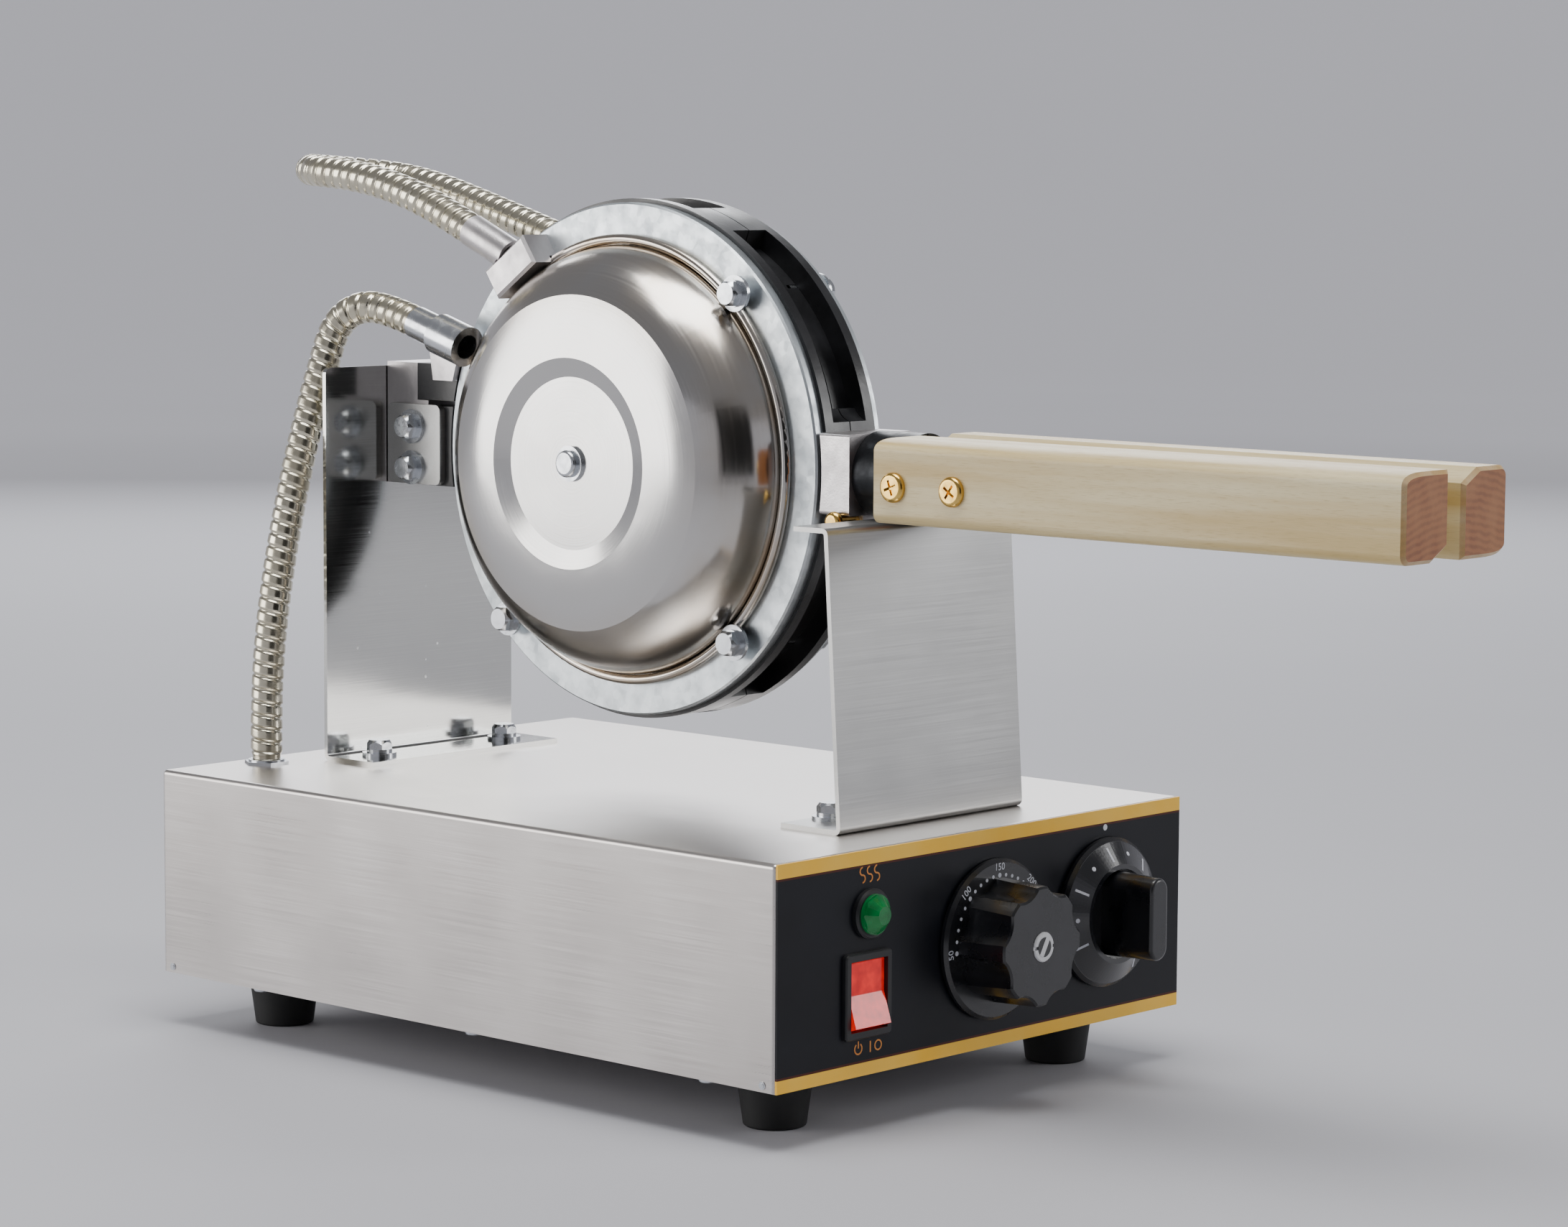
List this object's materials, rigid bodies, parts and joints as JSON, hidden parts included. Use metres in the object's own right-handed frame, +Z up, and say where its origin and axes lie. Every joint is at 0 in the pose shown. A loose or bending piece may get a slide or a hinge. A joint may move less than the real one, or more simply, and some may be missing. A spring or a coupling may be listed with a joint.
{
  "type": "bubble waffle maker",
  "caption": "Countertop bubble waffle maker: two round hinged mould halves on a swivel between sheet-steel uprights, long wooden handles, control box with switch, lamp, thermostat and timer.",
  "frame": {"origin": "middle of the whole machine seen from above, from the ends of the wooden grips to the cable gland at the back and across the base box, on the surface that the rubber feet stand on", "axes": "+Z up, +X to the right seen from the controls, -Y towards the front panel and the handles"},
  "size_m": [0.25, 0.617, 0.3773],
  "materials": {
    "sheet_steel": "satin brushed",
    "front_print": "gloss printed",
    "rubber_foot": "matte",
    "plated_steel": "bright zinc",
    "cast_black": "satin coated casting",
    "galvanised": "mottled zinc",
    "spun_steel": "spun satin",
    "cast_bright": "machined casting",
    "dark_steel": "oiled steel",
    "handle_wood": "sealed",
    "brass_screw": "polished",
    "hose_metal": "interlocked strip",
    "black_plastic": "moulded",
    "red_rocker": "translucent",
    "green_jewel": "faceted",
    "white_cap": "moulded",
    "heater_steel": "plain",
    "fibre_pad": "ceramic fibre",
    "ceramic": "glazed",
    "control_body": "moulded"
  },
  "bodies": {
    "base": {"base_shell": "sheet_steel", "label_panel": "front_print", "bottom_plate": "sheet_steel", "base_screws": "plated_steel", "feet": "rubber_foot", "foot_screws": "plated_steel", "rear_upright": "sheet_steel", "front_upright": "sheet_steel", "upright_bolts": "plated_steel", "swivel_bush": "dark_steel", "conduit_gland": "plated_steel", "conduit_main": "hose_metal", "switch_housing": "black_plastic", "lamp_bezel": "black_plastic", "lamp_lens": "green_jewel", "thermostat_body": "control_body", "timer_body": "control_body", "terminal_block": "ceramic", "cable_gland": "black_plastic"},
    "swivel": {"swivel_yoke": "cast_bright", "yoke_fasteners": "plated_steel", "shaft_nut": "plated_steel", "hinge_pin": "plated_steel", "leaf_a": "sheet_steel", "pan_a": "cast_black", "ring_a": "galvanised", "dome_a": "spun_steel", "dome_screw_a": "plated_steel", "ring_bolts_a": "plated_steel", "heater_a": "heater_steel", "insulation_a": "fibre_pad", "lug_a": "cast_bright", "journal_a": "dark_steel", "grip_a": "handle_wood", "grip_screws_a": "brass_screw", "stop_screw": "brass_screw", "jumper_clamp_a": "plated_steel", "conduit_jumper": "hose_metal", "main_socket": "plated_steel", "socket_strap": "cast_bright"},
    "lid": {"leaf_b": "cast_bright", "leaf_b_bolts": "plated_steel", "pan_b": "cast_black", "ring_b": "galvanised", "dome_b": "spun_steel", "dome_screw_b": "plated_steel", "ring_bolts_b": "plated_steel", "heater_b": "heater_steel", "insulation_b": "fibre_pad", "lug_b": "cast_bright", "journal_b": "dark_steel", "grip_b": "handle_wood", "grip_screws_b": "brass_screw", "jumper_clamp_b": "plated_steel"},
    "switch_rocker": {"rocker": "red_rocker"},
    "thermostat_dial": {"thermostat_knob": "black_plastic", "thermostat_cap": "white_cap", "thermostat_spindle": "plated_steel"},
    "timer_dial": {"timer_knob": "black_plastic", "timer_spindle": "plated_steel"}
  },
  "joints": [
    {"name": "mould_turn", "type": "hinge", "parent": "base", "child": "swivel", "pos_m": [0, 0.101, 0.2504], "axis": [0, -1, 0], "range_deg": [-90, 90], "deforming": ["conduit_main"]},
    {"name": "lid_open", "type": "hinge", "parent": "swivel", "child": "lid", "pos_m": [0.014, 0.2405, 0.2504], "axis": [0, 0, 1], "range_deg": [0, 90], "deforming": ["conduit_jumper"]},
    {"name": "switch_rock", "type": "hinge", "parent": "base", "child": "switch_rocker", "pos_m": [-0.0745, -0.0795, 0.055], "axis": [1, 0, 0], "range_deg": [0, 18]},
    {"name": "thermostat_turn", "type": "hinge", "parent": "base", "child": "thermostat_dial", "pos_m": [0.0015, -0.081, 0.067], "axis": [0, 1, 0], "range_deg": [0, 300]},
    {"name": "timer_turn", "type": "hinge", "parent": "base", "child": "timer_dial", "pos_m": [0.0735, -0.081, 0.069], "axis": [0, 1, 0], "range_deg": [0, 270]}
  ]
}
